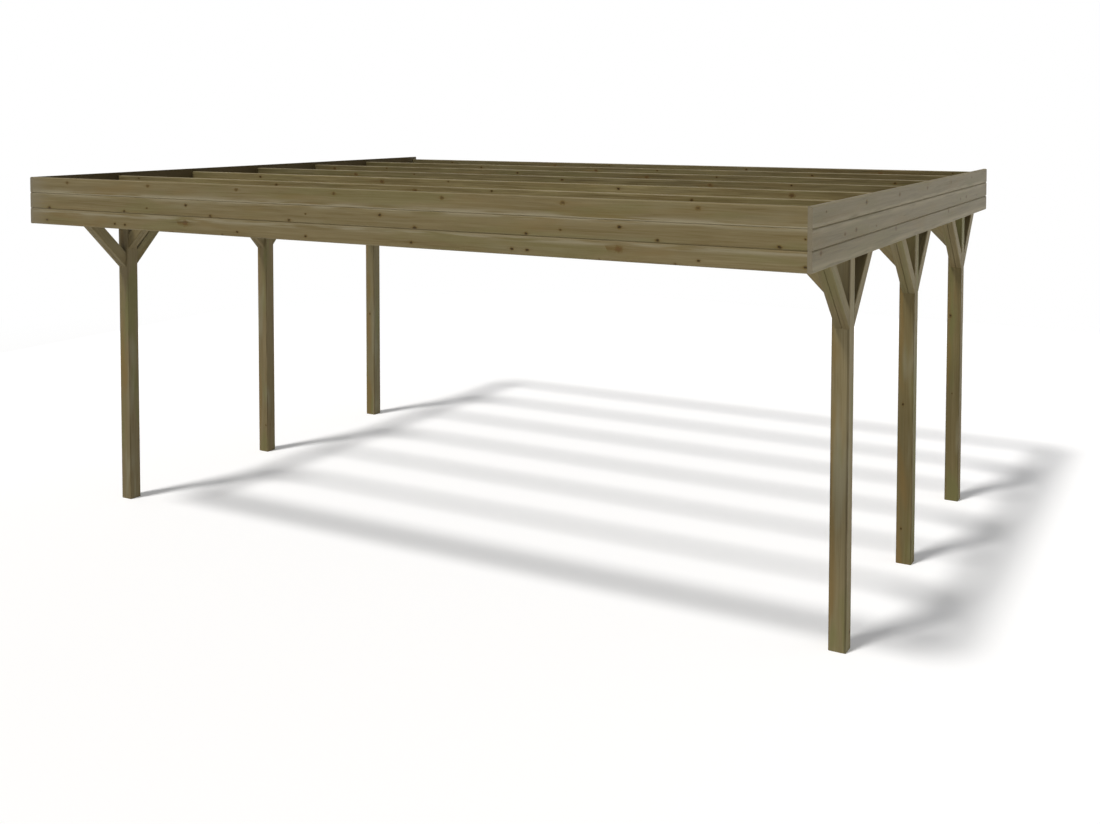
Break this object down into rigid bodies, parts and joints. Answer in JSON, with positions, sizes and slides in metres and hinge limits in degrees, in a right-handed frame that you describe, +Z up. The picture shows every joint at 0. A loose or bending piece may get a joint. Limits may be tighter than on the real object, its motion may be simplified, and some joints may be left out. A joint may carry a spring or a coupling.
{
  "type": "double carport",
  "caption": "Flat-roofed double timber carport: square posts with knee braces carry side beams and open rafters, with a boarded fascia round the front and sides.",
  "frame": {"origin": "on the ground, at the centre of the plan", "axes": "+X to the right across the drive-in, +Y from the boarded front to the open rear, +Z up"},
  "size_m": [5.6, 4.735, 2.488],
  "materials": {
    "frame_timber": "pressure-treated planed softwood, matt",
    "rafter_timber": "pressure-treated planed softwood, matt",
    "fascia_timber": "pressure-treated planed softwood boards, matt"
  },
  "bodies": {
    "root": {"beam_left": "frame_timber", "post_front_left": "frame_timber", "brace_front_left_forward": "frame_timber", "brace_front_left_rearward": "frame_timber", "brace_front_left_inward": "frame_timber", "post_middle_left": "frame_timber", "brace_middle_left_forward": "frame_timber", "brace_middle_left_rearward": "frame_timber", "brace_middle_left_inward": "frame_timber", "post_rear_left": "frame_timber", "brace_rear_left_forward": "frame_timber", "brace_rear_left_rearward": "frame_timber", "brace_rear_left_inward": "frame_timber", "fascia_left_bottom": "fascia_timber", "fascia_left_middle": "fascia_timber", "fascia_left_top": "fascia_timber", "beam_right": "frame_timber", "post_front_right": "frame_timber", "brace_front_right_forward": "frame_timber", "brace_front_right_rearward": "frame_timber", "brace_front_right_inward": "frame_timber", "post_middle_right": "frame_timber", "brace_middle_right_forward": "frame_timber", "brace_middle_right_rearward": "frame_timber", "brace_middle_right_inward": "frame_timber", "post_rear_right": "frame_timber", "brace_rear_right_forward": "frame_timber", "brace_rear_right_rearward": "frame_timber", "brace_rear_right_inward": "frame_timber", "fascia_right_bottom": "fascia_timber", "fascia_right_middle": "fascia_timber", "fascia_right_top": "fascia_timber", "fascia_front_bottom": "fascia_timber", "fascia_front_middle": "fascia_timber", "fascia_front_top": "fascia_timber", "rafter_1": "rafter_timber", "rafter_2": "rafter_timber", "rafter_3": "rafter_timber", "rafter_4": "rafter_timber", "rafter_5": "rafter_timber", "rafter_6": "rafter_timber", "rafter_7": "rafter_timber"}
  },
  "joints": []
}
